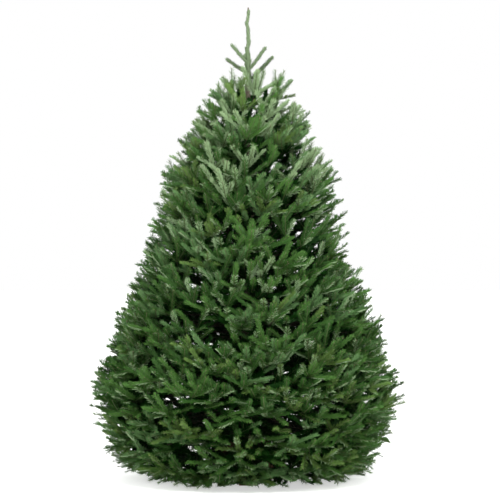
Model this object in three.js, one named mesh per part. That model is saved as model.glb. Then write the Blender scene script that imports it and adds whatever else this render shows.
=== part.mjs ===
// A cut fir grown and sheared for Christmas: one straight trunk, whorls of upswept boughs that carry
// the crown's masses of foliage, a bare leader with a ring of young shoots round its foot, and a plain
// stand of two crossed timbers with four braces. Millimetres, +Z up. The origin is on the floor, at
// the middle of the stand's flat underside.

import * as THREE from "three";
import { mergeVertices } from "three/addons/utils/BufferGeometryUtils.js";

const { degToRad, lerp, seededRandom, smoothstep } = THREE.MathUtils;

// The whole tree
const TREE_HEIGHT = 2200; // floor to the tip of the leader
const AIR_GAP = 0.4; // between pieces that touch
const SEED = 7;

// Stand
const TIMBER_LENGTH = 560;
const TIMBER_WIDTH = 90;
const TIMBER_DEPTH = 45; // floor to the trunk's cut
const TIMBER_CHAMFER = 12;
const BRACE_HEIGHT = 140;
const BRACE_FOOT = 125; // along the timber
const BRACE_HEAD = 34; // along the timber, at the top
const BRACE_THICKNESS = 38;

// Trunk
const BUTT_RADIUS = 49;
const BUTT_FLARE = 5; // what the cut foot stands proud of the taper
const FLARE_HEIGHT = 70;
const WHORL_RADIUS = 10; // where the topmost whorl grows
const LEADER_FOOT = 1890; // height of the topmost whorl
const LEADER_RADIUS = 6.5;
const LEADER_TIP_RADIUS = 3;
const LEADER_BOW = 5; // how far the leader strays from plumb

// Crown: the furthest tips, as heights with radii
const OUTLINE_HEIGHTS = [40, 140, 260, 420, 900, 1440, 1770, 1930, 2060];
const OUTLINE_RADII = [556, 650, 712, 714, 552, 386, 222, 132, 62];
const LOPSIDED_LOW = -0.035; // share by which the crown reaches further to +X, low down
const LOPSIDED_HIGH = 0.07; // and at the top

// Tiers of foliage. A tier lies between two cones round the trunk, each with the rise of its boughs
const TIER_LIMITS = [215, 375, 597, 832, 1067, 1302, 1530, 1750]; // heights on the trunk
const LOWEST_RISE = -17; // degrees above level: the lowest boughs droop
const HIGHEST_RISE = 48;
const MASSES_IN_TIER = [6, 6, 6, 5, 5, 4, 3];
const TIER_TURN = degToRad(137.5); // each tier is turned this far from the one below it
const BARE_RADIUS = [190, 165]; // the lowest tiers have shed their needles this far out
const TRUNK_CLEARANCE = 9; // the other tiers come in this close to the bark
const MASS_GAP = 14; // between neighbouring masses
const MASS_FACETS = { wide: [3, 6, 4], narrow: [3, 5, 4] }; // outwards, round the trunk, upwards
const EDGE_ROUNDING = 0.05; // shares of the half width, height or reach
const UNEVENNESS = 0.08;
const SPRAY_DEPTH = 0.13; // how deep the gaps between sprays cut, as a share of the reach

// Boughs that show between the trunk and the lowest masses
const BOUGH_BASE_RADIUS = 13;
const BOUGH_END_RADIUS = 9;
const BOUGH_END_GAP = 1.5; // a flat end against a rounded mass
const BOUGH_BOW = 7;

// Young shoots round the leader's foot
const SHOOT_RADIUS = 14;
const TOP_SHOOTS = [
  // azimuth and rise in degrees, height of the foot on the leader, length
  { name: "top_shoot_left_high", azimuth: 172, rise: 55, foot: 1920, length: 118 },
  { name: "top_shoot_left_low", azimuth: 206, rise: 34, foot: 1882, length: 126 },
  { name: "top_shoot_right_high", azimuth: 12, rise: 62, foot: 1871, length: 130 },
  { name: "top_shoot_right_low", azimuth: -34, rise: 41, foot: 1850, length: 160 },
  { name: "top_shoot_back", azimuth: 98, rise: 52, foot: 1866, length: 140 },
];

const bark = new THREE.MeshStandardMaterial({ color: 0x6b5c4c, roughness: 0.9, metalness: 0 });
const twigBark = new THREE.MeshStandardMaterial({ color: 0x7a6a50, roughness: 0.85, metalness: 0 });
const needles = new THREE.MeshStandardMaterial({ color: 0x3c5a30, roughness: 0.7, metalness: 0 });
const youngNeedles = new THREE.MeshStandardMaterial({ color: 0x6d8458, roughness: 0.7, metalness: 0 });
const timber = new THREE.MeshStandardMaterial({ color: 0x5a4632, roughness: 0.75, metalness: 0 });

const tree = new THREE.Group();

function addPiece(name, geometry, material) {
  const piece = new THREE.Mesh(geometry, material);
  piece.name = name;
  tree.add(piece);
  return piece;
}

// A three.js shape as one closed skin with shared corners, ready to be bent
function closedSkin(geometry) {
  geometry.deleteAttribute("normal");
  geometry.deleteAttribute("uv");
  return mergeVertices(geometry, 1e-4);
}

// Moves every corner of a skin to where place(corner) puts it
function reshape(skin, place) {
  const corners = skin.getAttribute("position");
  const corner = new THREE.Vector3();
  for (let i = 0; i < corners.count; i++) {
    corner.fromBufferAttribute(corners, i);
    corners.setXYZ(i, ...place(corner.clone()).toArray());
  }
  skin.computeVertexNormals();
  return skin;
}

// A round limb along a curve, whose radius is radiusAt(share of its length)
function limb(curve, radiusAt, sides, steps) {
  const across = new THREE.Vector3();
  const side = new THREE.Vector3();
  return reshape(closedSkin(new THREE.CylinderGeometry(1, 1, 1, sides, steps)), (corner) => {
    const share = THREE.MathUtils.clamp(corner.y + 0.5, 0, 1);
    const along = curve.getTangentAt(share);
    side.set(-along.y, along.x, 0);
    if (side.lengthSq() < 0.02) side.set(0, 1, 0);
    across.crossVectors(along, side).normalize();
    side.crossVectors(across, along).normalize();
    return curve
      .getPointAt(share)
      .addScaledVector(across, corner.x * radiusAt(share))
      .addScaledVector(side, corner.z * radiusAt(share));
  });
}

function pointRound(radius, azimuth, height) {
  return new THREE.Vector3(radius * Math.cos(azimuth), radius * Math.sin(azimuth), height);
}

// --- Stand -------------------------------------------------------------------------------------

// A timber's side view: level underside, chamfered ends, and half its depth cut away where the other
// timber crosses it, from the top or from below
function timberProfile(cutFromTop) {
  const end = TIMBER_LENGTH / 2;
  const notch = TIMBER_WIDTH / 2 + AIR_GAP;
  const half = TIMBER_DEPTH / 2;
  const profile = new THREE.Shape();
  profile.moveTo(-end, 0);
  if (!cutFromTop) {
    profile.lineTo(-notch, 0);
    profile.lineTo(-notch, half + AIR_GAP / 2);
    profile.lineTo(notch, half + AIR_GAP / 2);
    profile.lineTo(notch, 0);
  }
  profile.lineTo(end, 0);
  profile.lineTo(end, TIMBER_DEPTH - TIMBER_CHAMFER);
  profile.lineTo(end - TIMBER_CHAMFER, TIMBER_DEPTH);
  if (cutFromTop) {
    profile.lineTo(notch, TIMBER_DEPTH);
    profile.lineTo(notch, half - AIR_GAP / 2);
    profile.lineTo(-notch, half - AIR_GAP / 2);
    profile.lineTo(-notch, TIMBER_DEPTH);
  }
  profile.lineTo(-end + TIMBER_CHAMFER, TIMBER_DEPTH);
  profile.lineTo(-end, TIMBER_DEPTH - TIMBER_CHAMFER);
  profile.closePath();
  return profile;
}

// A brace's side view: upright against the trunk, sloping down along the timber
function braceProfile() {
  const start = BUTT_RADIUS + BUTT_FLARE + AIR_GAP;
  const foot = TIMBER_DEPTH + AIR_GAP;
  const profile = new THREE.Shape();
  profile.moveTo(start, foot);
  profile.lineTo(start + BRACE_FOOT, foot);
  profile.lineTo(start + BRACE_FOOT, foot + TIMBER_CHAMFER);
  profile.lineTo(start + BRACE_HEAD, foot + BRACE_HEIGHT);
  profile.lineTo(start, foot + BRACE_HEIGHT);
  profile.closePath();
  return profile;
}

// An upright side view given its thickness, and turned to point along azimuth
function board(profile, thickness, azimuth) {
  const geometry = new THREE.ExtrudeGeometry(profile, { depth: thickness, bevelEnabled: false });
  geometry.translate(0, 0, -thickness / 2).rotateX(Math.PI / 2).rotateZ(azimuth);
  return geometry;
}

addPiece("stand_timber_lower", board(timberProfile(true), TIMBER_WIDTH, 0), timber);
addPiece("stand_timber_upper", board(timberProfile(false), TIMBER_WIDTH, Math.PI / 2), timber);
["right", "back", "left", "front"].forEach((where, quarter) => {
  addPiece(`stand_brace_${where}`, board(braceProfile(), BRACE_THICKNESS, (quarter * Math.PI) / 2), timber);
});

// --- Trunk -------------------------------------------------------------------------------------

const TRUNK_FOOT = TIMBER_DEPTH + AIR_GAP;

function trunkRadius(height) {
  if (height > LEADER_FOOT) {
    return lerp(LEADER_RADIUS, LEADER_TIP_RADIUS, (height - LEADER_FOOT) / (TREE_HEIGHT - LEADER_FOOT));
  }
  const taper = lerp(BUTT_RADIUS, WHORL_RADIUS, (height - TRUNK_FOOT) / (LEADER_FOOT - TRUNK_FOOT));
  return taper + BUTT_FLARE * Math.exp(-(height - TRUNK_FOOT) / FLARE_HEIGHT);
}

const trunkLine = new THREE.CatmullRomCurve3([
  new THREE.Vector3(0, 0, TRUNK_FOOT),
  new THREE.Vector3(0, 0, lerp(TRUNK_FOOT, LEADER_FOOT, 0.5)),
  new THREE.Vector3(0, 0, LEADER_FOOT),
  new THREE.Vector3(-LEADER_BOW, 0, lerp(LEADER_FOOT, TREE_HEIGHT, 0.6)),
  new THREE.Vector3(0, 0, TREE_HEIGHT),
]);
addPiece("trunk", limb(trunkLine, (share) => trunkRadius(trunkLine.getPointAt(share).z), 14, 24), bark);

// --- Crown -------------------------------------------------------------------------------------

const outline = new THREE.CubicInterpolant(OUTLINE_HEIGHTS, OUTLINE_RADII, 1);
const lowestTips = OUTLINE_HEIGHTS[0];
const highestTips = OUTLINE_HEIGHTS.at(-1);

// How far the furthest tips are from the trunk's axis at a height and azimuth
function crownReach(height, azimuth) {
  const radius = outline.evaluate(THREE.MathUtils.clamp(height, lowestTips, highestTips))[0];
  const lopsided = lerp(LOPSIDED_LOW, LOPSIDED_HIGH, (height - lowestTips) / (highestTips - lowestTips));
  return radius * (1 + lopsided * Math.cos(azimuth));
}

// The slope of a bough that leaves the trunk at a height
function boughSlope(height) {
  const lowest = TIER_LIMITS[0];
  const highest = TIER_LIMITS.at(-1);
  return Math.tan(degToRad(lerp(LOWEST_RISE, HIGHEST_RISE, (height - lowest) / (highest - lowest))));
}

// Where a straight bough from that height on the trunk meets the crown's outline, by halving
function reachAlongBough(height, azimuth) {
  let near = 0;
  let far = 1000;
  for (let i = 0; i < 30; i++) {
    const middle = (near + far) / 2;
    if (crownReach(height + middle * boughSlope(height), azimuth) > middle) near = middle;
    else far = middle;
  }
  return near;
}

function innerRadius(tier) {
  return BARE_RADIUS[tier] ?? trunkRadius(TIER_LIMITS[tier]) + TRUNK_CLEARANCE;
}

// One mass of foliage: a block bent to fill its share of the tier, so that its long edges run out as
// the boughs do. It is cut back unevenly from there: its outer end between the sprays, and its flanks,
// top and underside away from their neighbours, most of all towards the tips.
function foliageMass(tier, azimuth, halfAngle) {
  const lower = TIER_LIMITS[tier] + MASS_GAP / 2;
  const upper = TIER_LIMITS[tier + 1] - MASS_GAP / 2;
  const inner = innerRadius(tier);
  const block = new THREE.BoxGeometry(2, 2, 2, ...MASS_FACETS[tier < 3 ? "wide" : "narrow"]);
  return reshape(closedSkin(block), ({ x: outward, y: around, z: upward }) => {
    const tipward = smoothstep(outward, -1, 1);
    const draw = (share) => share * (1 - (EDGE_ROUNDING * tipward ** 2 + UNEVENNESS * seededRandom()));
    const level = lerp(lower, upper, (draw(upward) + 1) / 2);
    const rounding = (EDGE_ROUNDING * (around ** 4 + upward ** 4)) / 2;
    const cutBack = 1 - (rounding + SPRAY_DEPTH * seededRandom() ** 2) * tipward;
    const radius = lerp(inner, reachAlongBough(level, azimuth) * cutBack, (outward + 1) / 2);
    const turn = (halfAngle - Math.asin(MASS_GAP / 2 / radius)) * draw(around);
    return pointRound(radius, azimuth + turn, level + radius * boughSlope(level));
  });
}

// The bare inner stretch of a main bough, from the bark to where its foliage starts
function bough(tier, azimuth) {
  const middle = (TIER_LIMITS[tier] + TIER_LIMITS[tier + 1]) / 2;
  const slope = boughSlope(middle);
  const tilt = Math.abs(Math.sin(Math.atan(slope)));
  const start = trunkRadius(middle) + BOUGH_BASE_RADIUS * tilt + AIR_GAP;
  const end = innerRadius(tier) - BOUGH_END_RADIUS * tilt - BOUGH_END_GAP;
  const half = (start + end) / 2;
  const line = new THREE.QuadraticBezierCurve3(
    pointRound(start, azimuth, middle + start * slope),
    pointRound(half, azimuth, middle + half * slope + BOUGH_BOW),
    pointRound(end, azimuth, middle + end * slope),
  );
  return limb(line, (share) => lerp(BOUGH_BASE_RADIUS, BOUGH_END_RADIUS, share), 8, 4);
}

seededRandom(SEED);
MASSES_IN_TIER.forEach((count, tier) => {
  const step = (2 * Math.PI) / count;
  for (let i = 0; i < count; i++) {
    const azimuth = i * step + tier * TIER_TURN;
    const place = `${tier + 1}_${i + 1}`;
    addPiece(`foliage_${place}`, foliageMass(tier, azimuth, step / 2), needles);
    if (tier < BARE_RADIUS.length) addPiece(`bough_${place}`, bough(tier, azimuth), twigBark);
  }
});

// --- Young shoots round the leader --------------------------------------------------------------

// A needled shoot: slim at its foot, fullest past the middle, blunt at its tip
function youngShoot({ azimuth, rise, foot, length }) {
  const turn = degToRad(azimuth);
  const tilt = degToRad(rise);
  const start = trunkRadius(foot) + SHOOT_RADIUS * Math.sin(tilt) + AIR_GAP;
  const end = start + length * Math.cos(tilt);
  const line = new THREE.LineCurve3(
    pointRound(start, turn, foot + start * Math.tan(tilt)),
    pointRound(end, turn, foot + end * Math.tan(tilt)),
  );
  const fullness = (share) => SHOOT_RADIUS * (0.55 + 0.45 * Math.sin(Math.PI * share ** 0.8)) * (1 - 0.35 * share);
  return limb(line, fullness, 8, 5);
}

for (const shoot of TOP_SHOOTS) addPiece(shoot.name, youngShoot(shoot), youngNeedles);

export default tree;
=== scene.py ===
# %% [markdown]
# # A cut Christmas tree on a plain timber stand
# The tree is a fir that was sheared as it grew, so it is dense, a little uneven, and full down to the floor.
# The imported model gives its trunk, its masses of foliage and its stand as plain solids, in metres.
# This lesson keeps their places and sizes, and grows a tree inside them: boughs, twigs, buds and needles.

import math

import bpy
import bmesh
import numpy as np
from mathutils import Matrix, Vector


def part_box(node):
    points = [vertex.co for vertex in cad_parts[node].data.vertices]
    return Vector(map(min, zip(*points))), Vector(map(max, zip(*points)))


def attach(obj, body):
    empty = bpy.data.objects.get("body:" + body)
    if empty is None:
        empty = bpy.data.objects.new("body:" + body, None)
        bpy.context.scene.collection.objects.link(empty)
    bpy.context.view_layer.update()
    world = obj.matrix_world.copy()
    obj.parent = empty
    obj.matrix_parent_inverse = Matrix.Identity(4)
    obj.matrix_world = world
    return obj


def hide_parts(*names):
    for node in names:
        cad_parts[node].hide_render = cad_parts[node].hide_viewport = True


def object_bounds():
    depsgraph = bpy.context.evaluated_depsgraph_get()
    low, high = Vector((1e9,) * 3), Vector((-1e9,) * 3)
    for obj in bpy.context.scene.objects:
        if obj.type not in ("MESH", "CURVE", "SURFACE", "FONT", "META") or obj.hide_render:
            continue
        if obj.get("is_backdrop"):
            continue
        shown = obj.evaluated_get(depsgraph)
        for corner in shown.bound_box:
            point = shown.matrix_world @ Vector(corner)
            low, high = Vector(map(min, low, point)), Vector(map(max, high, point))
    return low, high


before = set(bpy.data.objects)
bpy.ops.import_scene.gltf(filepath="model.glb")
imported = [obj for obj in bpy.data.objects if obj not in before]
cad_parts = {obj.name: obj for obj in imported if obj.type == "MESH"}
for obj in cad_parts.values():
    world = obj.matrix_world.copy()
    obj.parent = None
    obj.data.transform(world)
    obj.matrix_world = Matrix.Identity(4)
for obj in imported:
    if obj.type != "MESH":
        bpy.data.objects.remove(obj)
cad_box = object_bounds()
print("solids:", len(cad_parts), "box:", cad_box)

# %% [markdown]
# ## Reading the solids
# Everything that grows needs to know where it may grow to. A node's corners give that, so the first helper
# reads them as rows of x, y, z. Names that share a beginning belong together, as do all of foliage_1.

# %% Corners and groups of nodes
def corners(node):
    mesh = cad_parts[node].data
    flat = np.empty(len(mesh.vertices) * 3, np.float32)
    mesh.vertices.foreach_get("co", flat)
    return flat.reshape(-1, 3).astype(float)


def nodes_named(start):
    return sorted(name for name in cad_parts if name.startswith(start))


masses = nodes_named("foliage_")
tiers = sorted({int(name.split("_")[1]) for name in masses})
print("masses of foliage:", len(masses), "in tiers", tiers)

# %% [markdown]
# ## The outline of the crown
# A grower shears to an outline, and the new shoots then stand a few centimetres past it. The outline could be
# typed in, but the masses already hold it: for each height, the furthest corners tell the reach.
# The crown leans a little to one side, which is a second fit over the same corners.

# %% Measure how far the crown reaches at each height
LEVEL_BAND = 0.08  # a corner counts for a level when it is this near
FURTHEST = 98  # as a percentage of the corners, so that one odd corner doesn't set the outline
ROUNDS = 3  # each round corrects the slope that the last one left inside a band
LEADER_LENGTH, LEADER_REACH = 0.14, [0.060, 0.020]  # the reach at both ends of the leader

crown = np.concatenate([corners(name) for name in masses])
crown_radius = np.hypot(crown[:, 0], crown[:, 1])
levels = np.arange(0.04, 1.90, 0.06)
reach_at_level = np.ones(len(levels))
for _ in range(ROUNDS):
    share_of_reach = crown_radius / np.interp(crown[:, 2], levels, reach_at_level)
    reach_at_level *= [np.percentile(share_of_reach[np.abs(crown[:, 2] - level) < LEVEL_BAND], FURTHEST)
                       for level in levels]
tree_top = cad_box[1][2]
levels = np.append(levels, [tree_top - LEADER_LENGTH, tree_top])
reach_at_level = np.append(reach_at_level, LEADER_REACH)
print("reach:", dict(zip(levels.round(2).tolist(), reach_at_level.round(3).tolist())))

# %% Fit the crown's lean, and measure depth from the outline
OUTER_SHARE = 0.85  # corners past this share of the reach lie on the outline

outer = crown_radius > OUTER_SHARE * np.interp(crown[:, 2], levels, reach_at_level)
excess = crown_radius[outer] - np.interp(crown[outer, 2], levels, reach_at_level)
sideways = np.cos(np.arctan2(crown[outer, 1], crown[outer, 0]))
lean_fit = np.linalg.lstsq(np.stack([sideways, sideways * crown[outer, 2], np.ones(outer.sum())], 1),
                           excess, rcond=None)[0]


def crown_reach(points):
    """How far from the trunk's axis the outline is, at each point's height and azimuth."""
    radius = np.hypot(points[..., 0], points[..., 1])
    cosine = points[..., 0] / np.maximum(radius, 1e-6)
    lean = (lean_fit[0] + lean_fit[1] * points[..., 2]) * cosine
    return np.interp(points[..., 2], levels, reach_at_level) + lean


def depth_in_crown(points):
    """How deep inside the outline each point lies, in metres: negative outside."""
    return crown_reach(points) - np.hypot(points[..., 0], points[..., 1])


print("lean along X:", lean_fit[:2].round(3), "m, and m more for each metre of height")

# %% [markdown]
# ## Where the boughs leave the trunk
# A fir sets a ring of boughs at each year's height and a few weaker ones between the rings. Young boughs
# near the top rise steeply, and their own weight brings the old ones down until the lowest droop. Each mass
# of foliage lies along one such bough, so its inner corners say at what heights its boughs have their feet.

# %% Read the feet and the direction of each mass's boughs
RISE_HEIGHTS = [0.17, 0.26, 0.50, 0.80, 1.20, 1.60, 1.95]
RISE_DEGREES = [-17, -17, -7, 8, 25, 41, 54]
INNER_END = 0.15  # the share of a mass, counted from the trunk, that holds its boughs' feet


def rise_at(height):
    return math.radians(np.interp(height, RISE_HEIGHTS, RISE_DEGREES))


def bough_line(name):
    points = corners(name)
    radius = np.hypot(points[:, 0], points[:, 1])
    middle = points[:, :2].mean(0)
    near = radius < radius.min() + INNER_END * np.ptp(radius)
    feet = points[near, 2] - math.tan(rise_at(points[near, 2].mean())) * radius[near]
    return dict(tier=int(name.split("_")[1]), azimuth=math.atan2(middle[1], middle[0]),
                low=feet.min(), high=feet.max())


bough_lines = [bough_line(name) for name in masses]
for tier in tiers:
    some = [line for line in bough_lines if line["tier"] == tier]
    print(f"tier {tier}: {len(some)} masses, feet at {some[0]['low']:.2f} to {some[0]['high']:.2f} m")

# %% [markdown]
# ## How a fir branches
# Every limb grows the same way, so one small rule makes the whole crown. Each year a limb adds one straight
# length, and at the joint it leaves a pair of side limbs, nearly in one flat plane, which then do the same.
# The shears cut all of them a hand's breadth under the outline. Next spring a few new shoots sprout at each
# cut end, spread like the toes of a bird's foot, and stand out past the cut. All choices come from one
# seeded source of chance, so the tree is the same each time.

# %% Helpers for directions and chance
SEED = 24
UP = np.array([0.0, 0.0, 1.0])
GOLDEN_ANGLE = math.pi * (3 - math.sqrt(5))
chance = np.random.default_rng(SEED)


def unit(vectors):
    return vectors / np.maximum(np.linalg.norm(vectors, axis=-1, keepdims=True), 1e-9)


def heading(azimuth, rise):
    return np.array([math.cos(azimuth) * math.cos(rise), math.sin(azimuth) * math.cos(rise),
                     math.sin(rise)])


def between(low, high):
    return float(chance.uniform(low, high))


def waver(most):
    """A chance amount to either side of nothing."""
    return between(-most, most)


print("seed:", SEED, "golden angle:", round(math.degrees(GOLDEN_ANGLE), 1), "degrees")

# %% How far a limb can grow before the shears or the floor stop it
FLOOR_CLEARANCE = 0.022
TOP_OF_LIMBS = 1.905  # above this only the leader and the shoots round its foot stand clear
STEPS_AHEAD = 24


def room_ahead(start, direction, longest, tip_depth):
    """The length a limb has until it is only tip_depth inside the outline, or meets floor or top."""
    distance = np.linspace(0, longest, STEPS_AHEAD)
    path = start + distance[:, None] * direction
    stopped = (depth_in_crown(path) < tip_depth) | (path[:, 2] < FLOOR_CLEARANCE)
    stopped |= path[:, 2] > TOP_OF_LIMBS
    return float(distance[np.argmax(stopped)]) if stopped.any() else longest


print("room level outwards at 1 m:", round(room_ahead(UP, heading(0, 0), 2.0, 0.0), 2), "m")

# %% [markdown]
# A limb keeps its points, its thickness at both ends, its rank (1 for boughs, up to 4 for the smallest
# shoots), its tier and the spray that it belongs to. The spray decides its needles' tint later on.

# %% The list of limbs, and the way a side limb turns off
limbs = []
sprays = 0


def add_limb(points, thick, thin, rank, tier, spray):
    limbs.append(dict(points=np.asarray(points, float), thick=thick, thin=thin, rank=rank, tier=tier,
                      spray=spray))


def side_direction(along, angle, roll):
    """Turns away from a limb by angle; roll 0 is level to its left, half a turn is to its right."""
    side = unit(np.cross(UP, along))
    above = np.cross(along, side)
    return unit(math.cos(angle) * along
                + math.sin(angle) * (math.cos(roll) * side + math.sin(roll) * above))


print("a quarter turn off a limb that runs along X:", side_direction(heading(0, 0), math.pi / 2, 0).round(2))

# %% The young shoots at the end of a limb
SHOOT_LENGTH = (0.082, 0.150)
SHOOT_REACH = (-0.020, 0.034)  # depth of the tips in the crown, so some stand a little past the outline
SHORTEST = 0.038
TOE_ANGLE = math.radians(52)
TOES = [(0.10, 0.0), (TOE_ANGLE, 0.0), (TOE_ANGLE, math.pi), (0.8 * TOE_ANGLE, math.pi / 2)]
TOE_WAVER, ROLL_WAVER = 0.22, 0.7
TOE_BOW = (-0.04, 0.02)  # how far a shoot's middle sags or lifts, as a share of its length
SHOOT_THICK, SHOOT_THIN = 0.0024, 0.0017
SHOOT_RANK = 4
LIFT_HEIGHTS = [0.1, 0.4, 0.8, 1.2, 2.0]
SHOOT_LIFT = [0.02, 0.30, 0.42, 0.42, 0.30]


def grow_toes(end, along, toes, tier, spray):
    """This year's shoots where the shears cut a limb: straight on, to both sides and above."""
    for angle, roll in TOES[:toes]:
        lift = np.interp(end[2], LIFT_HEIGHTS, SHOOT_LIFT) * UP
        way = unit(side_direction(along, angle + waver(TOE_WAVER), roll + waver(ROLL_WAVER)) + lift)
        length = room_ahead(end, way, between(*SHOOT_LENGTH), between(*SHOOT_REACH))
        if length > SHORTEST:
            middle = end + 0.5 * length * way + between(*TOE_BOW) * length * UP
            add_limb([end, middle, end + length * way], SHOOT_THICK, SHOOT_THIN, SHOOT_RANK, tier, spray)


print("shoots at a cut end: up to", len(TOES), "of", SHOOT_LENGTH, "m")

# %% One limb, year by year
YEAR_LENGTH = {2: 0.105, 3: 0.085}  # by rank
YEAR_VARIES = (0.78, 1.22)
THICKNESS = {2: 0.0034, 3: 0.0026}
TOES_OF_RANK = {1: 4, 2: 3, 3: 1}
CUT_DEPTH = (0.075, 0.135)
TOES_DEPTH = 0.17  # a limb that ends deeper than this met no shears and has no toes
LIFT_EACH_YEAR = 0.10


def grow(start, along, years, rank, tier, spray):
    points = [start]
    cut = between(*CUT_DEPTH)
    for _ in range(years):
        length = room_ahead(points[-1], along, YEAR_LENGTH[rank] * between(*YEAR_VARIES), cut)
        if length < SHORTEST:
            break
        points.append(points[-1] + length * along)
        along = unit(along + LIFT_EACH_YEAR * UP)
    if len(points) > 1:
        add_limb(points, THICKNESS[rank], SHOOT_THICK, rank, tier, spray)
        grow_at_joints(points, years, rank, tier, spray)
    if depth_in_crown(points[-1]) < TOES_DEPTH:
        grow_toes(points[-1], along, TOES_OF_RANK[rank], tier, spray)


print("metres in a year, by rank:", YEAR_LENGTH, "cut this deep:", CUT_DEPTH)

# %% The side limbs at its joints
OLDEST = {2: 3, 3: 1}  # years, by rank
SIDE_ANGLE = math.radians(48)
ANGLE_WAVER, PLANE_WAVER = 0.16, 0.75
ODD_SHOOTS = 0.45  # share of joints with one more shoot, above or below the plane of the pair
ODD_ANGLE = 0.7
ODD_ABOVE = 0.65  # share of the odd shoots that point up


def grow_at_joints(points, years, rank, tier, spray):
    """A pair of side limbs at each joint. Each side limb of a bough starts a spray of its own."""
    global sprays
    if rank + 1 not in OLDEST:
        return
    for joint in range(1, len(points) - 1):
        along = unit(points[joint + 1] - points[joint])
        age = min(OLDEST[rank + 1], years - joint)
        for roll in (0, math.pi):
            if rank == 1:
                sprays += 1
                spray = sprays
            side = side_direction(along, SIDE_ANGLE + waver(ANGLE_WAVER), roll + waver(PLANE_WAVER))
            grow(points[joint], side, age, rank + 1, tier, spray)
        if chance.random() < ODD_SHOOTS:
            roll = math.pi / 2 if chance.random() < ODD_ABOVE else -math.pi / 2
            grow_toes(points[joint], side_direction(along, ODD_ANGLE, roll), 1, tier, spray)


print("years that a side limb may grow, by rank:", OLDEST)

# %% [markdown]
# ## The boughs
# A bough sets off from the bark, bends under its weight and turns its tip up to the light. Where it ends is
# what counts, as its spray has to cover its share of the outline. So a table is made first: a bough with its
# foot at this height ends at that height. Read backwards, it gives the foot for any place on the outline.

# %% The trunk's middle and radius at any height
trunk_points = corners("trunk")
ring_heights = np.unique(trunk_points[:, 2].round(4))
trunk_rings = []
for height in ring_heights:
    ring = trunk_points[np.abs(trunk_points[:, 2] - height) < 1e-4, :2]
    centre = 0.5 * (ring.min(0) + ring.max(0))
    trunk_rings.append((*centre, np.hypot(*(ring - centre).T).max()))
trunk_rings = np.array(trunk_rings)


def trunk_at(height):
    """The trunk's middle and its radius at a height, between its rings of corners."""
    x, y, radius = (float(np.interp(height, ring_heights, trunk_rings[:, k])) for k in range(3))
    return np.array([x, y]), radius


print("trunk:", len(ring_heights), "rings of corners, radius at 1 m", round(trunk_at(1.0)[1], 4))

# %% The path of one bough
BOUGH_YEAR = 0.120  # metres that a bough adds in a year
BOUGH_POINTS = 12
TIP_LIFT = math.radians(20)
FOOT_IN_TRUNK = 0.7  # share of the trunk's radius at which a bough starts, so that no gap shows
LOOK_OUT = 0.3  # how far along its rise a bough looks for the reach of the crown
LEAST_REACH = 0.15


def bough_path(azimuth, foot, stop, unrest=0.0):
    """A bough's points from the trunk outwards. Its tip lifts, and unrest makes it stray a little."""
    middle, radius = trunk_at(foot)
    point = np.array([*middle, foot]) + heading(azimuth, 0) * radius * FOOT_IN_TRUNK
    points = [point]
    rise = rise_at(foot) + waver(unrest)
    full = max(LEAST_REACH, float(crown_reach(point + heading(azimuth, rise) * LOOK_OUT)))
    while len(points) < BOUGH_POINTS:
        lift = TIP_LIFT * min(1.0, math.hypot(point[0], point[1]) / full) ** 2
        azimuth += waver(unrest) * 0.5
        along = heading(azimuth, rise + lift)
        length = room_ahead(point, along, BOUGH_YEAR * (1 + waver(unrest) * 2), stop)
        if length < SHORTEST:
            break
        point = point + length * along
        points.append(point)
    return points


print("a bough has up to", BOUGH_POINTS - 1, "years of", BOUGH_YEAR, "m")

# %% The table from foot to tip
LOWEST_FOOT, HIGHEST_FOOT, FEET = 0.17, 1.88, 60
TABLE_STOP = 0.02

feet = np.linspace(LOWEST_FOOT, HIGHEST_FOOT, FEET)
tip_heights = np.array([bough_path(0.0, foot, TABLE_STOP)[-1][2] for foot in feet])
tip_heights = np.maximum.accumulate(tip_heights)
some = [0, FEET // 2, -1]
print("feet", feet[some].round(2), "end at", tip_heights[some].round(2))

# %% [markdown]
# Each mass of foliage gets its main bough along its middle. A ring of low boughs fans out just above the
# floor, as the oldest do on a tree that is full to the foot, and covers the stand. The lesser boughs are
# spread over the outline like seeds on a pine cone: each turns by the golden angle, and each step up covers
# the same area. Where the crown should be thicker, the steps are made smaller.

# %% One bough with all that it carries
LEAFY_DEPTH = 0.34  # deeper than this a bough is bare
BOUGH_UNREST = 0.11
MAIN_THICK, LESSER_THICK, BOUGH_THIN = 0.011, 0.0045, 0.0022


def grow_bough(azimuth, foot, thick):
    global sprays
    tier = max((line["tier"] for line in bough_lines if line["low"] <= foot), default=1)
    points = bough_path(azimuth, foot, between(*CUT_DEPTH), BOUGH_UNREST)
    if len(points) < 2:
        return
    add_limb(points, thick, BOUGH_THIN, 1, tier, 0)
    first = next((k for k, point in enumerate(points) if depth_in_crown(point) < LEAFY_DEPTH), 1)
    leafy = points[max(first - 1, 0):]
    grow_at_joints(leafy, len(leafy) - 1, 1, tier, 0)
    sprays += 1
    grow_toes(points[-1], unit(points[-1] - points[-2]), TOES_OF_RANK[1], tier, sprays)


print("boughs to grow along the masses:", len(bough_lines))

# %% Grow every bough
SKIRT_BOUGHS, SKIRT_FEET = 42, (0.130, 0.150)
LESSER_BOUGHS = 314
CROWDING_HEIGHTS = [0.1, 0.2, 0.3, 0.6, 0.8, 1.0, 1.5, 1.7, 1.95]
CROWDING = [1.5, 1.4, 1.25, 1.50, 1.45, 1.15, 1.1, 1.5, 1.7]
OUTLINE_STEPS = 200

for line in bough_lines:
    grow_bough(line["azimuth"], 0.5 * (line["low"] + line["high"]), MAIN_THICK)
for number in range(SKIRT_BOUGHS):
    grow_bough((number + 0.5) * 2 * math.pi / SKIRT_BOUGHS, SKIRT_FEET[number % 2], LESSER_THICK)

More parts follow.
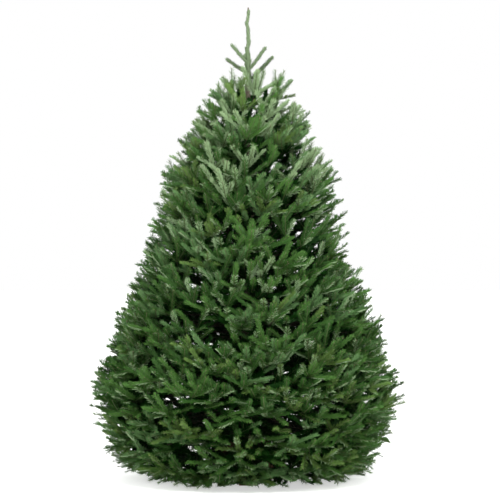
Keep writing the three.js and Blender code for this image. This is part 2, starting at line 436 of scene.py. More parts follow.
outline_heights = np.linspace(tip_heights[0], tip_heights[-1], OUTLINE_STEPS)
crowding = np.interp(outline_heights, CROWDING_HEIGHTS, CROWDING)
area = np.cumsum(np.interp(outline_heights, levels, reach_at_level) * crowding)
for number in range(LESSER_BOUGHS):
    height = np.interp((number + 0.5) / LESSER_BOUGHS * area[-1], area, outline_heights)
    grow_bough(number * GOLDEN_ANGLE, float(np.interp(height, tip_heights, feet)), LESSER_THICK)

print("limbs by rank:", {rank: sum(limb["rank"] == rank for limb in limbs) for rank in (1, 2, 3, 4)},
      "sprays:", sprays)

# %% [markdown]
# ## The leader and the shoots round its foot
# The top of the trunk is this year's leader, and round its foot stands a ring of young shoots. The packed
# model has each of them as a slim solid, so the shoot runs from the end nearest the trunk to the furthest.
# Both have needles all round. The trunk itself is made later, so only the leader's needles are noted here.

# %% Note the young shoots and the needled part of the leader
YOUNG_TIER = tiers[-1] + 1
LEADER_FOOT, LEADER_THIN, LEADER_POINTS = 1.80, 0.003, 14
TIP_NEEDLES = 0.022  # the wood stops this short of the solid's end, and needles fill the rest
END_CORNERS = 4
YOUNG_THICK, YOUNG_THIN = 0.0042, 0.0026
YOUNG_SAG, SAG_PLACE = 0.004, 0.55
ROOTING, UNDER_SHOOT = 0.1, 0.01  # a shoot is rooted in the trunk, a little below where it comes out


def ends_of(node):
    points = corners(node)
    order = np.argsort(np.hypot(points[:, 0], points[:, 1]))
    return points[order[:END_CORNERS]].mean(0), points[order[-END_CORNERS:]].mean(0)


for node in nodes_named("top_shoot_"):
    near, far = ends_of(node)
    middle, _ = trunk_at(near[2] - UNDER_SHOOT)
    sprays += 1
    foot = np.array([*middle, near[2] - (far[2] - near[2]) * ROOTING])
    tip = far - TIP_NEEDLES * unit(far - foot)
    bend = foot + SAG_PLACE * (tip - foot) - YOUNG_SAG * UP
    add_limb([foot, bend, tip], YOUNG_THICK, YOUNG_THIN, 2, YOUNG_TIER, sprays)

leader_heights = np.linspace(LEADER_FOOT, tree_top - TIP_NEEDLES, LEADER_POINTS)
leader_points = [[*trunk_at(height)[0], height] for height in leader_heights]
leader = dict(points=np.array(leader_points), thick=trunk_at(LEADER_FOOT)[1], thin=LEADER_THIN, rank=0,
              tier=YOUNG_TIER, spray=0)
print("young shoots:", len(nodes_named("top_shoot_")), "leader from", LEADER_FOOT)

# %% [markdown]
# ## Making a mesh from rows of numbers
# Half a million needles can't be made one by one with operators. Instead numpy works out all corners at
# once, and this helper hands them to Blender as one mesh: rows of points, rows of four or three corners for
# the faces, and for each face the number of its material.

# %% A mesh object from arrays
def mesh_object(name, points, faces, materials, material_of_face=None, smooth=False):
    faces = np.asarray(faces, np.int32)
    mesh = bpy.data.meshes.new(name)
    mesh.vertices.add(len(points))
    mesh.vertices.foreach_set("co", np.asarray(points, np.float32).ravel())
    mesh.loops.add(faces.size)
    mesh.loops.foreach_set("vertex_index", faces.ravel())
    mesh.polygons.add(len(faces))
    mesh.polygons.foreach_set("loop_start", np.arange(len(faces), dtype=np.int32) * faces.shape[1])
    for material in materials:
        mesh.materials.append(material)
    if material_of_face is not None:
        mesh.polygons.foreach_set("material_index", np.asarray(material_of_face, np.int32))
    mesh.polygons.foreach_set("use_smooth", np.full(len(faces), smooth))
    mesh.update(calc_edges=True)
    piece = bpy.data.objects.new(name, mesh)
    bpy.context.scene.collection.objects.link(piece)
    return piece


def triangles_in(piece):
    sizes = np.empty(len(piece.data.polygons), np.int32)
    piece.data.polygons.foreach_get("loop_total", sizes)
    return int((sizes - 2).sum())


def settle(piece, nodes=()):
    """Every piece of the tree goes with the one body and may stand for solids, whose nodes it hides."""
    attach(piece, "root")
    if nodes:
        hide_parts(*nodes)
    print(f"{piece.name}: {triangles_in(piece):,} triangles")
    return piece


# %% [markdown]
# ## The colours of the needles
# A fir's needles are deep green above and carry two pale bands of wax below. Young sprays are fresher. The
# old needles deep inside take a nearly black tint, which is painted shade, and the top of the tree is pale
# grey-green, partly from a bloom of wax and partly as painted light from above. The leader and the shoots
# round it share a tint of their own. All these have a place on the tree, so each is one plain colour, and
# they are dealt out by spray. The shader is a soft, waxy one.

# %% A material of one plain colour
def srgb(red, green, blue):
    share = np.array([red, green, blue]) / 255
    return (*np.where(share <= 0.04045, share / 12.92, ((share + 0.055) / 1.055) ** 2.4).tolist(), 1.0)


def plain_material(name, colour, roughness):
    material = bpy.data.materials.new(name)
    material.use_nodes = True
    shader = material.node_tree.nodes["Principled BSDF"]
    shader.inputs["Base Color"].default_value = srgb(*colour)
    shader.inputs["Roughness"].default_value = roughness
    return material, shader


print("mid grey in linear light:", round(srgb(128, 128, 128)[0], 3))

# %% One waxy material for each tint
NEEDLE_ROUGHNESS, NEEDLE_SHINE = 0.55, 0.15
TINTS = {
    # painted shade: the darkest tint goes to the needles deep inside the crown
    "needle_inner_painted_shade": (16, 54, 8),
    "needle_deep": (50, 86, 34),
    "needle_green": (68, 107, 46),
    "needle_blue": (84, 119, 70),
    "needle_fresh": (90, 120, 58),
    # partly wax bloom, partly painted light from above: this tint is dealt mostly near the top
    "needle_bloom_and_painted_light": (130, 155, 112),
    "needle_wax": (132, 157, 116),
    "needle_young": (114, 134, 100),
}


def needle_material(name, colour):
    material, shader = plain_material(name, colour, NEEDLE_ROUGHNESS)
    shader.inputs["Specular IOR Level"].default_value = NEEDLE_SHINE
    return material


needle_materials = [needle_material(name, colour) for name, colour in TINTS.items()]
TINT = {name: number for number, name in enumerate(TINTS)}
print("tints:", list(TINT))

# %% [markdown]
# ## Which spray gets which tint
# Each spray draws its tint by lot. The lots lean towards pale grey-green at the top and deep green lower
# down: partly a bloom of wax that has worn off lower down, partly painted light from above and painted shade
# lower down. The lowest sprays are dealt a little fresher, paler tints, which is painted light from the
# ground. Needles deep inside get the darkest tint, which is painted shade.

# %% Deal the tints out by spray
# painted light and shade by height: paler tints at the top and at the very foot, deeper green in between
TINT_HEIGHTS = [0.25, 0.45, 0.9, 1.4, 1.7, 2.0]
TINT_SHARES = {
    "needle_deep": [0.12, 0.46, 0.38, 0.24, 0.04, 0.00],
    "needle_green": [0.40, 0.38, 0.34, 0.32, 0.12, 0.04],
    "needle_blue": [0.29, 0.10, 0.20, 0.26, 0.30, 0.16],
    "needle_fresh": [0.19, 0.06, 0.07, 0.07, 0.10, 0.06],
    "needle_bloom_and_painted_light": [0.00, 0.00, 0.01, 0.11, 0.44, 0.74],
}
spray_height = np.zeros(sprays + 1)
for limb in limbs:
    spray_height[limb["spray"]] = limb["points"][-1][2]
spray_height[0] = tree_top
shares = np.array([np.interp(spray_height, TINT_HEIGHTS, row) for row in TINT_SHARES.values()])
shares = np.cumsum(shares / shares.sum(0), 0)
lots = chance.random(sprays + 1)
drawn = (lots > shares).sum(0).clip(0, len(TINT_SHARES) - 1)
spray_tint = np.array([TINT[name] for name in TINT_SHARES])[drawn]
print("sprays of each tint:", dict(zip(TINTS, np.bincount(spray_tint, minlength=len(TINTS)).tolist())))

# %% [markdown]
# ## The needles
# A fir needle is a flat, blunt blade about 2 cm long. It sits on the upper side of its twig and leans
# forward, so a shoot is a flat brush some 3 cm across. Here each blade is one four-sided face, broader than
# life, so that fewer of them cover the shoot. Each is turned so that its face looks up and out of the crown.
# On some lengths of twig the needles at both edges have rolled over and show their waxy side. The leader and
# the shoots round it have needles on all sides, with their faces outward.

# %% Every straight stretch of limb as a row of numbers
def stretches(some_limbs):
    """Start, step, radius, distance to the tip, spray, tier and rank of each straight stretch."""
    rows = []
    for limb in some_limbs:
        points = limb["points"]
        steps = np.diff(points, axis=0)
        lengths = np.linalg.norm(steps, axis=1)
        to_tip = lengths[::-1].cumsum()[::-1]
        share = np.linspace(0, 1, len(points))
        radius = limb["thick"] + (limb["thin"] - limb["thick"]) * (share[:-1] + share[1:]) / 2
        count = len(steps)
        rows.append(np.column_stack([points[:-1], steps, radius, to_tip, np.full(count, limb["spray"]),
                                     np.full(count, limb["tier"]), np.full(count, limb["rank"])]))
    return np.concatenate(rows)


leafy = stretches(limbs + [leader])
print("straight stretches:", len(leafy))

# %% How many needles each stretch carries
NEEDLES_PER_METRE = 720
INNER_DEPTH = 0.125
INNER_SHARES = {INNER_DEPTH: 0.62, 0.30: 0.40}  # depth in the crown and the share of needles left there
YOUNG_FULLNESS, LEADER_FULLNESS = 2.6, 3.0

start, step, radius, to_tip = leafy[:, :3], leafy[:, 3:6], leafy[:, 6], leafy[:, 7]
spray, tier_of, rank = leafy[:, 8].astype(int), leafy[:, 9].astype(int), leafy[:, 10].astype(int)
length = np.linalg.norm(step, axis=1)
depth = depth_in_crown(start + step / 2)
# the needles this deep go into a mesh of their own in the darkest tint, which is painted shade
inner = (depth > INNER_DEPTH) & (tier_of != YOUNG_TIER)
fullness = np.where(inner, np.interp(depth, list(INNER_SHARES), list(INNER_SHARES.values())), 1.0)
fullness[tier_of == YOUNG_TIER] = YOUNG_FULLNESS
fullness[rank == 0] = LEADER_FULLNESS
count = np.floor(length * NEEDLES_PER_METRE * fullness + chance.random(len(length))).astype(int)
print("needles:", f"{count.sum():,}", "of which inner:", f"{count[inner].sum():,}")

# %% Where every needle sits on its twig
SPREAD = math.radians(116)  # furthest turn from the top of the twig, to either side
UPRIGHT_FROM, UPRIGHT_OVER = 0.75, 0.2  # the steepness where needles begin to go all round, and how fast
TURN_STEP = 0.6180339887  # the golden share, so that neighbours never line up
TURN_SCATTER = 0.12

owner = np.repeat(np.arange(len(count)), count)
number = np.arange(len(owner)) - np.repeat(np.cumsum(count) - count, count)
share = (number + chance.random(len(owner))) / count[owner]
tangent = unit(step)[owner]
level = unit(np.cross(UP, tangent) + 1e-4)
above = np.cross(tangent, level)
young = tier_of[owner] == YOUNG_TIER
steepness = np.abs(tangent[:, 2])
spread = SPREAD + (math.pi - SPREAD) * np.clip((steepness - UPRIGHT_FROM + young) / UPRIGHT_OVER, 0, 1)
turn = (2 * ((np.arange(len(owner)) * TURN_STEP) % 1) - 1) * spread
turn += chance.normal(0, TURN_SCATTER, len(owner))
outward = np.cos(turn)[:, None] * above + np.sin(turn)[:, None] * level
print("needles that may sit under their twig:", f"{(spread > SPREAD).sum():,}")

# %% Which way every needle leans
LEAN, TIP_LEAN = math.radians(40), math.radians(24)
TIP_STRETCH = 0.014  # needles this near to a tip lean forward and get shorter
LEAN_SCATTER = 0.09
LEADER_LEAN, YOUNG_LEAN = 0.55, 0.75

tip_distance = to_tip[owner] - share * length[owner]
near_tip = np.clip(1 - tip_distance / TIP_STRETCH, 0, 1)
lean = LEAN + (TIP_LEAN - LEAN) * near_tip + chance.normal(0, LEAN_SCATTER, len(owner))
lean[rank[owner] == 0] *= LEADER_LEAN
lean[young & (rank[owner] > 0)] *= YOUNG_LEAN
direction = np.cos(lean)[:, None] * tangent + np.sin(lean)[:, None] * outward
print("mean lean:", round(math.degrees(lean.mean()), 1), "degrees")

# %% Shape each needle as a flat, blunt blade
NEEDLE_LENGTH, NEEDLE_WIDTH = 0.0205, 0.0038
LENGTH_VARIES = (0.75, 1.08)
TIP_SHORTENING = 0.25
FACE_OUT, FACE_UP, FACE_AWAY, FACE_SCATTER = 0.45, 0.40, 0.60, 0.09
FOOT_SHARE, END_SHARE = 0.6, 0.75  # widths at both ends, as shares of the full width
CURL = 0.10  # how far a needle's tip drops back, as a share of its length
SEAT = 0.8  # share of the twig's radius at which a needle starts

needle_length = NEEDLE_LENGTH * chance.uniform(*LENGTH_VARIES, len(owner)) * (1 - TIP_SHORTENING * near_tip)
away = np.where(young[:, None], outward, start[owner] * (1, 1, 0))
face_towards = FACE_OUT * outward + FACE_UP * UP + FACE_AWAY * unit(away)
face_towards += chance.normal(0, FACE_SCATTER, direction.shape)
face = unit(face_towards - (face_towards * direction).sum(1, keepdims=True) * direction)
across = np.cross(direction, face) * NEEDLE_WIDTH / 2
foot = start[owner] + share[:, None] * step[owner] + outward * (radius[owner] * SEAT)[:, None]
end = foot + direction * needle_length[:, None] - face * (CURL * needle_length)[:, None]
blades = np.stack([foot - FOOT_SHARE * across, foot + FOOT_SHARE * across,
                   end + END_SHARE * across, end - END_SHARE * across], 1)
print("blades:", blades.shape)

# %% Tint the needles and make one mesh for each tier
WAXY_FROM = math.radians(78)
WAXY_SHARE = 0.22  # share of the stretches that show their wax

tint = spray_tint[spray[owner]]
waxy = (np.abs(turn) > WAXY_FROM) & (chance.random(len(count)) < WAXY_SHARE)[owner]
tint = np.where(waxy, TINT["needle_wax"], tint)
tint = np.where(young, TINT["needle_young"], tint)

for tier in tiers:
    mine = (tier_of[owner] == tier) & ~inner[owner]
    if tier == tiers[-1]:
        mine |= young
    points = blades[mine].reshape(-1, 3)
    faces = np.arange(len(points)).reshape(-1, 4)
    nodes = nodes_named(f"foliage_{tier}_")
    if tier == tiers[-1]:
        nodes += nodes_named("top_shoot_")
    settle(mesh_object(f"needles_tier_{tier}", points, faces, needle_materials, tint[mine]),
           nodes)

# %% [markdown]
# Deep inside, the needles are old and in the shade, and nobody sees one on its own. There a needle is a
# single three-sided face, about three times as broad and somewhat longer, so that few of them close the
# crown. All of them take the darkest tint, which is painted shade.

# %% The old needles deep inside
INNER_WIDTH, INNER_LENGTH = 3.2, 1.4

slivers = np.stack([foot - INNER_WIDTH * across, foot + INNER_WIDTH * across,
                    foot + INNER_LENGTH * (end - foot)], 1)[inner[owner]]
points = slivers.reshape(-1, 3)
# one mesh in the darkest tint: painted shade deep inside the crown
settle(mesh_object("needles_inside_painted_shade", points, np.arange(len(points)).reshape(-1, 3),
                   [needle_materials[TINT["needle_inner_painted_shade"]]]))

# %% [markdown]
# ## Twigs
# Under the needles runs the wood: side limbs and shoots a few millimetres thick. A curve with a bevel would
# do for one, but there are thousands, so each limb gets rings of three corners, joined into a tube that
# tapers to its tip. Two tones are dealt out: olive on the thinnest shoots, grey-brown on older wood.

# %% A tapering tube round a row of points
def tube(limb, sides, relief=None):
    points = limb["points"]
    tangent = unit(np.gradient(points, axis=0))
    side = unit(np.cross(UP, tangent) + 1e-4)
    above = np.cross(tangent, side)
    share = np.linspace(0, 1, len(points))[:, None]
    turn = np.arange(sides) * 2 * math.pi / sides
    radius = limb["thick"] + (limb["thin"] - limb["thick"]) * share + 0 * turn
    if relief is not None:
        radius = radius * relief(turn, share)
    ring = np.cos(turn)[None, :, None] * above[:, None] + np.sin(turn)[None, :, None] * side[:, None]
    corners_of_rings = points[:, None] + radius[:, :, None] * ring
    here = np.arange(len(points) - 1)[:, None] * sides + np.arange(sides)
    beside = np.arange(len(points) - 1)[:, None] * sides + (np.arange(sides) + 1) % sides
    faces = np.stack([here, here + sides, beside + sides, beside], 2)
    return corners_of_rings.reshape(-1, 3), faces.reshape(-1, 4)


print("faces in one shoot's tube:", len(tube(limbs[-1], 3)[1]))


# %% Many tubes in one mesh
def joined_tubes(some_limbs, sides, relief=None):
    points, faces, owners, total = [], [], [], 0
    for number, limb in enumerate(some_limbs):
        limb_points, limb_faces = tube(limb, sides, relief)
        points.append(limb_points)
        faces.append(limb_faces + total)
        owners.append(np.full(len(limb_faces), number))
        total += len(limb_points)
    return np.concatenate(points), np.concatenate(faces), np.concatenate(owners)


print("faces in two such tubes joined:", len(joined_tubes(limbs[-2:], 3)[1]))

# %% The twigs
twig_limbs = [limb for limb in limbs if limb["rank"] > 1]
points, faces, owners = joined_tubes(twig_limbs, 3)
older = np.array([limb["rank"] == 2 for limb in twig_limbs])
olive, _ = plain_material("twig_olive", (74, 88, 46), 0.6)
grey, _ = plain_material("twig_grey", (58, 54, 40), 0.75)
twigs = mesh_object("twigs", points, faces, [olive, grey], older[owners].astype(int), smooth=True)
settle(twigs)

# %% [markdown]
# ## Buds
# Each shoot ends in a blunt, resinous bud, brown with a pale bloom. An eight-sided bead with its long axis
# along the shoot is enough at this size.

# %% Where the buds sit
BUD_DEPTH = 0.06  # no buds are made deeper in the crown than this
LEADER_BUDS = [0.42, 0.55, 0.62, 0.74, 0.83, 0.88, 1.0]  # shares of the way up the leader
LEADER_BUD_SIZE, LEADER_BUD_RISE, LEADER_BUD_OUT = 1.5, 0.9, 0.006

tips = np.array([limb["points"][-1] for limb in twig_limbs])
ahead = unit(tips - np.array([limb["points"][-2] for limb in twig_limbs]))
budding = depth_in_crown(tips) < BUD_DEPTH
tips, ahead = tips[budding], ahead[budding]
size = np.ones(len(tips))

up_leader = np.linspace(0, 1, LEADER_POINTS)
places = np.stack([np.interp(LEADER_BUDS, up_leader, leader["points"][:, k]) for k in range(3)], 1)
round_leader = np.arange(len(LEADER_BUDS)) * GOLDEN_ANGLE
sideways = np.stack([np.cos(round_leader), np.sin(round_leader),
                     np.full(len(LEADER_BUDS), LEADER_BUD_RISE)], 1)
sideways[-1] = UP
tips = np.concatenate([tips, places + LEADER_BUD_OUT * unit(sideways)])
ahead = np.concatenate([ahead, unit(sideways)])
size = np.append(size, np.full(len(LEADER_BUDS), LEADER_BUD_SIZE))[:, None]
print("buds:", len(tips))

# %% One bead for each bud
BUD_LENGTH, BUD_RADIUS = 0.0042, 0.0023  # from the bead's middle
BUD_AHEAD, BUD_BACK = 0.4, 0.8  # how far the bead's middle is past the tip, and how far the bead reaches back

beside = unit(np.cross(UP, ahead) + 1e-4)
over = np.cross(ahead, beside)
centre = tips + BUD_AHEAD * BUD_LENGTH * ahead
bead = np.stack([centre - BUD_BACK * BUD_LENGTH * size * ahead, centre + BUD_LENGTH * size * ahead,
                 centre + BUD_RADIUS * size * beside, centre + BUD_RADIUS * size * over,
                 centre - BUD_RADIUS * size * beside, centre - BUD_RADIUS * size * over], 1)
around = np.array([[0, 3, 2], [0, 4, 3], [0, 5, 4], [0, 2, 5], [1, 2, 3], [1, 3, 4], [1, 4, 5], [1, 5, 2]])
faces = (np.arange(len(tips))[:, None, None] * bead.shape[1] + around).reshape(-1, 3)
resin, _ = plain_material("bud_resin", (112, 100, 76), 0.42)
buds = mesh_object("buds", bead.reshape(-1, 3), faces, [resin], smooth=True)
settle(buds)

# %% [markdown]
# ## Bark
# Fir bark is smooth and grey with blisters of resin on young wood, and cracks into small plates low on an
# old trunk. Trunk and boughs share the effect, so it is one node group: it takes a scale and puts out a
# colour and a height. The material outside keeps the shader, so that each can set its own roughness.

# %% Helpers for node groups
def new_group(name, inputs, outputs):
    group = bpy.data.node_groups.new(name, "ShaderNodeTree")
    for label, kind, value in inputs:
        group.interface.new_socket(label, in_out="INPUT", socket_type=kind).default_value = value
    for label, kind in outputs:
        group.interface.new_socket(label, in_out="OUTPUT", socket_type=kind)
    return group, group.nodes.new("NodeGroupInput"), group.nodes.new("NodeGroupOutput")


def ramp(group, stops):
    node = group.nodes.new("ShaderNodeValToRGB")
    for element, (position, colour) in zip(node.color_ramp.elements, stops):
        element.position, element.color = position, colour
    return node


def texture(group, kind, vector, **values):
    node = group.nodes.new(kind)
    for label, value in values.items():
        node.inputs[label.replace("_", " ").title()].default_value = value
    group.links.new(vector, node.inputs["Vector"])
    return node


def colour_blend(group, factor, into, out):
    """Blends the group's Dark and Pale by a factor, which is the group's height as well."""
    node = group.nodes.new("ShaderNodeMix")
    node.data_type = "RGBA"
    group.links.new(factor, node.inputs["Factor"])
    group.links.new(into.outputs["Dark"], node.inputs["A"])
    group.links.new(into.outputs["Pale"], node.inputs["B"])
    group.links.new(node.outputs["Result"], out.inputs["Color"])
    group.links.new(factor, out.inputs["Height"])


BLACK, WHITE = (0, 0, 0, 1), (1, 1, 1, 1)
print("helpers for node groups: new_group, ramp, texture, colour_blend")

# %% The bark's node group
PLATE_SQUEEZE = 0.45  # plates are longer up the trunk than round it
CRACK_WIDTH = 0.09
MOTTLE_SCALE = 0.5  # of the plates' scale

bark_group, into, out = new_group(
    "fir_bark",
    [("Scale", "NodeSocketFloat", 60.0), ("Dark", "NodeSocketColor", srgb(62, 52, 43)),
     ("Pale", "NodeSocketColor", srgb(134, 122, 106))],
    [("Color", "NodeSocketColor"), ("Height", "NodeSocketFloat")])
links = bark_group.links
place = bark_group.nodes.new("ShaderNodeTexCoord").outputs["Object"]
squeeze = bark_group.nodes.new("ShaderNodeMapping")
squeeze.inputs["Scale"].default_value = (1.0, 1.0, PLATE_SQUEEZE)
links.new(place, squeeze.inputs["Vector"])
plates = texture(bark_group, "ShaderNodeTexVoronoi", squeeze.outputs["Vector"])
plates.feature = "DISTANCE_TO_EDGE"
mottle = texture(bark_group, "ShaderNodeTexNoise", place, detail=6.0, roughness=0.6)
scale_mottle = bark_group.nodes.new("ShaderNodeMath")
scale_mottle.operation = "MULTIPLY"
scale_mottle.inputs[1].default_value = MOTTLE_SCALE
links.new(into.outputs["Scale"], plates.inputs["Scale"])
links.new(into.outputs["Scale"], scale_mottle.inputs[0])
links.new(scale_mottle.outputs[0], mottle.inputs["Scale"])
cracks = ramp(bark_group, [(0.0, BLACK), (CRACK_WIDTH, WHITE)])
links.new(plates.outputs["Distance"], cracks.inputs["Fac"])
product = bark_group.nodes.new("ShaderNodeMath")
product.operation = "MULTIPLY"
links.new(cracks.outputs["Color"], product.inputs[0])
links.new(mottle.outputs["Fac"], product.inputs[1])
colour_blend(bark_group, product.outputs[0], into, out)
print("bark group:", len(bark_group.nodes), "nodes")


# %% The bark's material
BUMP_STRENGTH = 0.6


def group_material(name, group, roughness, relief, **values):
    material = bpy.data.materials.new(name)
    material.use_nodes = True
    tree = material.node_tree
    shader = tree.nodes["Principled BSDF"]
    shader.inputs["Roughness"].default_value = roughness
    effect = tree.nodes.new("ShaderNodeGroup")
    effect.node_tree = group
    for label, value in values.items():
        effect.inputs[label].default_value = value
    bump = tree.nodes.new("ShaderNodeBump")
    bump.inputs["Strength"].default_value = BUMP_STRENGTH
    bump.inputs["Distance"].default_value = relief
    tree.links.new(effect.outputs["Color"], shader.inputs["Base Color"])
    tree.links.new(effect.outputs["Height"], bump.inputs["Height"])
    tree.links.new(bump.outputs["Normal"], shader.inputs["Normal"])
    return material


trunk_bark = group_material("trunk_bark", bark_group, 0.88, 0.0015, Scale=75.0)
bough_bark = group_material("bough_bark", bark_group, 0.8, 0.0008, Scale=150.0,
                            Dark=srgb(46, 42, 33), Pale=srgb(88, 80, 64))
print("bark materials:", trunk_bark.name, bough_bark.name)

# %% [markdown]
# ## Trunk and boughs
# The trunk's mesh follows the solid's own middle and radius, ring by ring, so its taper, flare and bowed
# leader stay true. On top comes relief: a few seeded waves make it unround, and it swells at each ring of
# boughs. The boughs are tubes of eight sides with the same kind of waves, thick enough to show from below.

# %% The trunk's radius at every height and turn
TRUNK_SIDES, TRUNK_STEP = 32, 0.014
TABLE_ROWS = 60
WAVES = 14
LOBES, PITCH, PHASE, WAVE_HEIGHT = (1, 7), (4, 60), (0, 6.3), (0.003, 0.011)
SWELLING, SWELLING_LENGTH, SMOOTH_ABOVE = 0.07, 0.018, 1.75

low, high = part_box("trunk")
heights = np.append(np.arange(low.z, high.z, TRUNK_STEP), high.z)
table = np.array([(height, *trunk_at(height)[0], trunk_at(height)[1])
                  for height in np.linspace(low.z, high.z, TABLE_ROWS)])
middle_x, middle_y, plain_radius = (np.interp(heights, table[:, 0], table[:, k]) for k in (1, 2, 3))
turn = np.arange(TRUNK_SIDES) * 2 * math.pi / TRUNK_SIDES
waves = [(chance.integers(*LOBES), between(*PITCH), between(*PHASE), between(*WAVE_HEIGHT))
         for _ in range(WAVES)]
unround = 1 + sum(size * np.sin(lobes * turn + pitch * heights[:, None] + phase)
                  for lobes, pitch, phase, size in waves)
rings_of_boughs = np.array([0.5 * (line["low"] + line["high"]) for line in bough_lines])
swelling = 1 + SWELLING * np.exp(-((heights[:, None] - rings_of_boughs) / SWELLING_LENGTH) ** 2).max(1)
trunk_radius = (plain_radius * np.where(heights > SMOOTH_ABOVE, 1, swelling))[:, None] * unround
print("trunk's radius from", trunk_radius.min().round(4), "to", trunk_radius.max().round(4))

# %% The trunk's mesh, closed at both ends
rings = np.stack([middle_x[:, None] + trunk_radius * np.cos(turn),
                  middle_y[:, None] + trunk_radius * np.sin(turn),
                  heights[:, None] + 0 * trunk_radius], 2)
base = np.arange(len(heights) - 1)[:, None] * TRUNK_SIDES
here, beside = base + np.arange(TRUNK_SIDES), base + (np.arange(TRUNK_SIDES) + 1) % TRUNK_SIDES
walls = np.stack([here, beside, beside + TRUNK_SIDES, here + TRUNK_SIDES], 2).reshape(-1, 4)
trunk = mesh_object("trunk_with_bark", rings.reshape(-1, 3), walls, [trunk_bark], smooth=True)
edit = bmesh.new()
edit.from_mesh(trunk.data)
edit.verts.ensure_lookup_table()
edit.faces.new([edit.verts[k] for k in range(TRUNK_SIDES)][::-1])
edit.faces.new([edit.verts[len(edit.verts) - TRUNK_SIDES + k] for k in range(TRUNK_SIDES)])
edit.to_mesh(trunk.data)
edit.free()
settle(trunk, ["trunk"])

# %% The boughs
BOUGH_SIDES = 8


def bough_relief(turn, share):
    return 1 + 0.06 * np.sin(3 * turn + 17 * share) + 0.05 * np.sin(2 * turn - 31 * share + 1)


bough_limbs = [limb for limb in limbs if limb["rank"] == 1]
points, faces, _ = joined_tubes(bough_limbs, BOUGH_SIDES, bough_relief)
boughs = mesh_object("boughs", points, faces, [bough_bark], smooth=True)
settle(boughs, nodes_named("bough_"))

# %% [markdown]
# ## The stand
# The stand is two lengths of rough timber, halved into each other, with four cut braces that hold the trunk
# upright. Their solids have the right shape but knife-sharp edges. Copies of them get a small bevel, which
# is what sawn and handled timber has, and a grain that runs along each length.

# %% The grain's node group
GRAIN_ALONG = 0.06  # the grain is drawn out by squeezing its pattern this much along the timber

grain_group, into, out = new_group(
    "timber_grain",
    [("Along", "NodeSocketVector", (1.0, 1.0, 1.0)), ("Dark", "NodeSocketColor", srgb(70, 50, 34)),
     ("Pale", "NodeSocketColor", srgb(116, 88, 62))],
    [("Color", "NodeSocketColor"), ("Height", "NodeSocketFloat")])
links = grain_group.links
place = grain_group.nodes.new("ShaderNodeTexCoord").outputs["Object"]
stretch = grain_group.nodes.new("ShaderNodeMapping")
links.new(place, stretch.inputs["Vector"])
links.new(into.outputs["Along"], stretch.inputs["Scale"])
fibres = texture(grain_group, "ShaderNodeTexNoise", stretch.outputs["Vector"], scale=55.0, detail=7.0,
                 roughness=0.62, distortion=0.6)
contrast = ramp(grain_group, [(0.34, BLACK), (0.66, WHITE)])
links.new(fibres.outputs["Fac"], contrast.inputs["Fac"])
colour_blend(grain_group, contrast.outputs["Color"], into, out)
timber_x = group_material("timber_lengthwise", grain_group, 0.72, 0.0006, Along=(GRAIN_ALONG, 1, 1))
timber_y = group_material("timber_crosswise", grain_group, 0.72, 0.0006, Along=(1, GRAIN_ALONG, 1))
print("grain group:", len(grain_group.nodes), "nodes")


# %% Bevelled copies of the timbers and braces
TIMBER_EDGE, BRACE_EDGE = 0.003, 0.002
SAME_PLACE = 1e-5
FLAT, SHARP = 0.02, 0.3  # faces that meet under the first angle are one, over the second have an edge


def eased_copy(node, name, width, material):
    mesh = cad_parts[node].data.copy()
    edit = bmesh.new()
    edit.from_mesh(mesh)
    bmesh.ops.remove_doubles(edit, verts=edit.verts, dist=SAME_PLACE)
    bmesh.ops.dissolve_limit(edit, angle_limit=FLAT, verts=edit.verts, edges=edit.edges)
    bmesh.ops.bevel(edit, geom=[e for e in edit.edges if e.calc_face_angle(0) > SHARP], offset=width,
                    segments=3, profile=0.6, affect="EDGES")
    for face in edit.faces:
        face.smooth = False
    edit.to_mesh(mesh)
    edit.free()
    mesh.materials.clear()
    mesh.materials.append(material)
    piece = bpy.data.objects.new(name, mesh)
    bpy.context.scene.collection.objects.link(piece)
    return settle(piece, [node])


eased_copy("stand_timber_lower", "timber_lower", TIMBER_EDGE, timber_x)
eased_copy("stand_timber_upper", "timber_upper", TIMBER_EDGE, timber_y)
for side, material in {"right": timber_x, "left": timber_x, "front": timber_y, "back": timber_y}.items():
    eased_copy(f"stand_brace_{side}", f"brace_{side}", BRACE_EDGE, material)

# %% [markdown]
# ## Floor, light and camera
# The stage is a studio: a wide pale floor that runs out of sight and a bright, even surround, so that there
# is no horizon to see. The floor glows a little, which keeps it as white as the surround and lights the
# lowest sprays from below. One large soft light hangs above and in front of the tree, and two weaker ones
# fill the sides, so the tips catch light and the hollows between the boughs stay deep.

# %% The floor
FLOOR_RADIUS, FLOOR_DROP = 60.0, 0.0005
FLOOR_GREY, FLOOR_ROUGHNESS, FLOOR_GLOW = 0.86, 0.9, 0.55

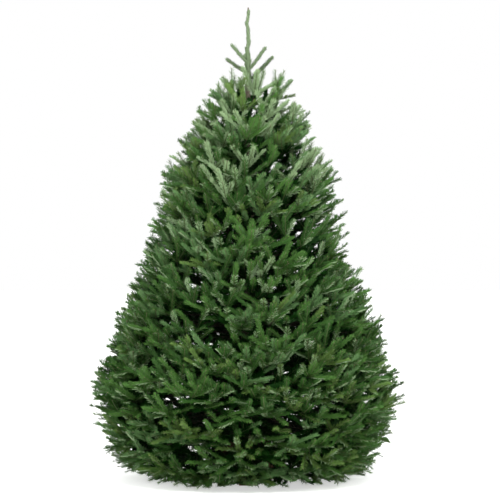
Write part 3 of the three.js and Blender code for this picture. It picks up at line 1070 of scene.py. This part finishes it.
edit = bmesh.new()
bmesh.ops.create_circle(edit, cap_ends=True, segments=96, radius=FLOOR_RADIUS)
floor_mesh = bpy.data.meshes.new("floor")
edit.to_mesh(floor_mesh)
edit.free()
floor = bpy.data.objects.new("floor", floor_mesh)
floor.location.z = -FLOOR_DROP
bpy.context.scene.collection.objects.link(floor)
pale = bpy.data.materials.new("studio_floor")
pale.use_nodes = True
shader = pale.node_tree.nodes["Principled BSDF"]
shader.inputs["Base Color"].default_value = (FLOOR_GREY, FLOOR_GREY, FLOOR_GREY, 1)
shader.inputs["Roughness"].default_value = FLOOR_ROUGHNESS
shader.inputs["Emission Color"].default_value = WHITE
shader.inputs["Emission Strength"].default_value = FLOOR_GLOW
floor_mesh.materials.append(pale)
floor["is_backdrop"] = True
print("floor:", 2 * FLOOR_RADIUS, "m across")

# %% The surround
surround = bpy.data.worlds.new("studio")
bpy.context.scene.world = surround
bpy.context.scene.view_settings.view_transform = "Standard"
surround.use_nodes = True
background = surround.node_tree.nodes["Background"]
background.inputs["Color"].default_value = WHITE
background.inputs["Strength"].default_value = 1.0
print("surround:", surround.name)


# %% Three soft lights
def soft_light(name, place, aim, size, watts):
    lamp = bpy.data.lights.new(name, "AREA")
    lamp.shape, lamp.size, lamp.energy = "DISK", size, watts
    light = bpy.data.objects.new(name, lamp)
    light.location = place
    light.rotation_euler = (light.location - Vector(aim)).to_track_quat("Z", "Y").to_euler()
    bpy.context.scene.collection.objects.link(light)


middle_of_tree = (0, 0, tree_top / 2)
soft_light("key", (0.6, -3.2, 5.2), middle_of_tree, 2.6, 260)
soft_light("fill_left", (-4.2, -2.2, 2.6), middle_of_tree, 2.4, 60)
soft_light("fill_right", (4.2, -2.0, 2.6), middle_of_tree, 2.4, 60)
print("lights:", [light.name for light in bpy.data.lights])

# %% The camera, level and far back with a long lens
CAMERA_PLACE = (0.007, -8.5, 1.0)
LENS_LENGTH, SENSOR_WIDTH, SHIFT_UP = 131, 36, 0.029

lens = bpy.data.cameras.new("camera")
lens.lens, lens.sensor_width, lens.shift_y = LENS_LENGTH, SENSOR_WIDTH, SHIFT_UP
camera = bpy.data.objects.new("camera", lens)
camera.location = CAMERA_PLACE
camera.rotation_euler = (math.pi / 2, 0, 0)
bpy.context.scene.collection.objects.link(camera)
bpy.context.scene.camera = camera
print("camera at", CAMERA_PLACE)

# %% [markdown]
# ## Checking the size
# The grown tree has to fill the same box as the solids, so both boxes are written down side by side.

# %% Write both boxes and finish
grown_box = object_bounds()
for corner, cad, grown in zip(("low", "high"), cad_box, grown_box):
    print(corner, "cad", [round(v, 3) for v in cad], "grown", [round(v, 3) for v in grown])
